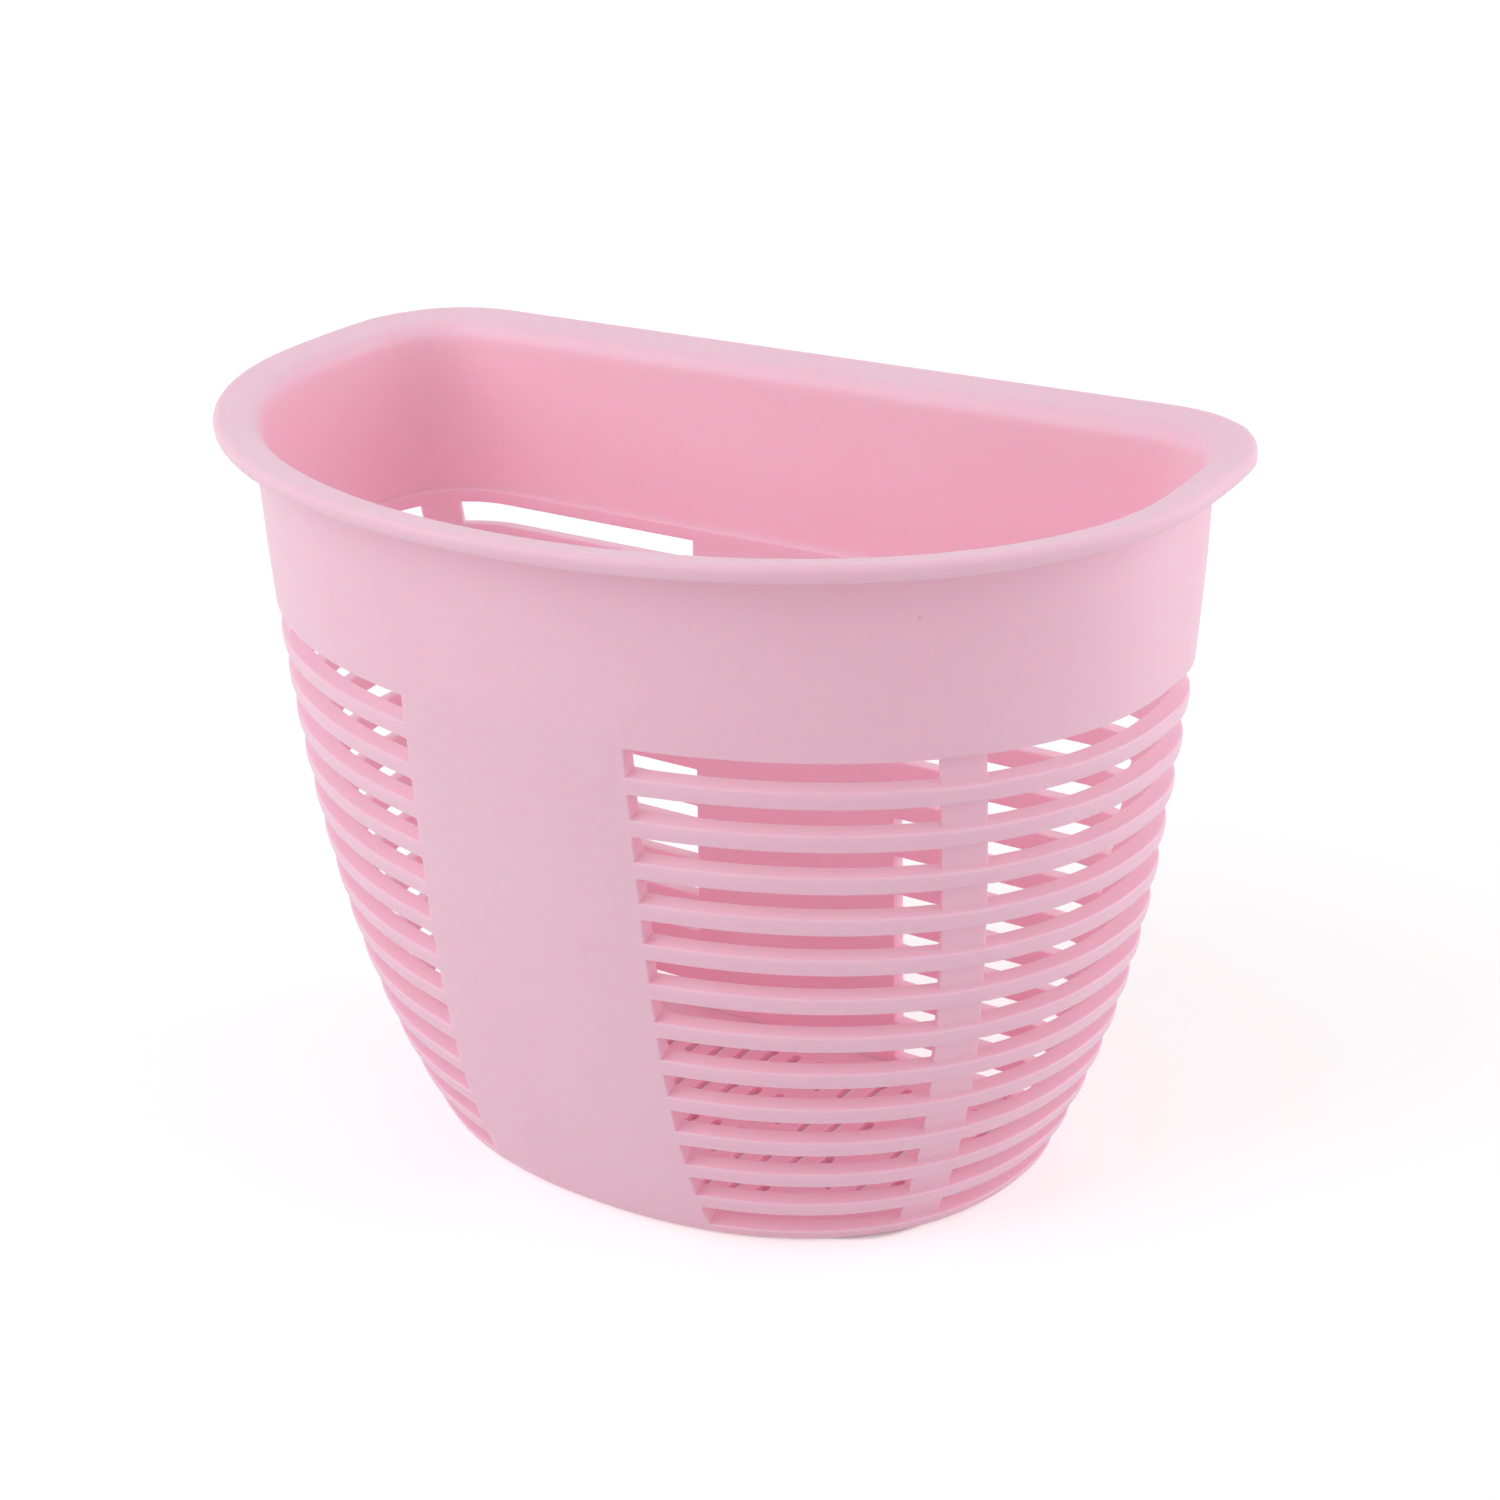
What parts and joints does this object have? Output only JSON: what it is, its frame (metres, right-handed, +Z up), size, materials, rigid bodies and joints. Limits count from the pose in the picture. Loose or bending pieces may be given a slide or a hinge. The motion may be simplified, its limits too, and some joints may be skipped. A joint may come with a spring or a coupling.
{
  "type": "slotted storage basket",
  "caption": "Half-round storage basket with a flat back, a flared rim, a solid front panel, slotted tapering sides and a slotted floor, in pink plastic.",
  "frame": {"origin": "middle of the bounding box in plan, on the plane that the base stands on", "axes": "+X to the basket's right along its long side, +Y towards the flat back, +Z up through the mouth"},
  "size_m": [0.25, 0.1324, 0.1729],
  "materials": {
    "basket_plastic": "satin"
  },
  "bodies": {
    "root": {"rim_flange": "basket_plastic", "upper_band": "basket_plastic", "front_panel": "basket_plastic", "back_panel": "basket_plastic", "base_hoop": "basket_plastic", "floor_plate": "basket_plastic", "side_stile_right": "basket_plastic", "side_stile_left": "basket_plastic", "corner_post_right": "basket_plastic", "corner_post_left": "basket_plastic", "rib_right_01": "basket_plastic", "rib_right_02": "basket_plastic", "rib_right_03": "basket_plastic", "rib_right_04": "basket_plastic", "rib_right_05": "basket_plastic", "rib_right_06": "basket_plastic", "rib_right_07": "basket_plastic", "rib_right_08": "basket_plastic", "rib_right_09": "basket_plastic", "rib_right_10": "basket_plastic", "rib_right_11": "basket_plastic", "rib_right_12": "basket_plastic", "rib_left_01": "basket_plastic", "rib_left_02": "basket_plastic", "rib_left_03": "basket_plastic", "rib_left_04": "basket_plastic", "rib_left_05": "basket_plastic", "rib_left_06": "basket_plastic", "rib_left_07": "basket_plastic", "rib_left_08": "basket_plastic", "rib_left_09": "basket_plastic", "rib_left_10": "basket_plastic", "rib_left_11": "basket_plastic", "rib_left_12": "basket_plastic"}
  },
  "joints": []
}
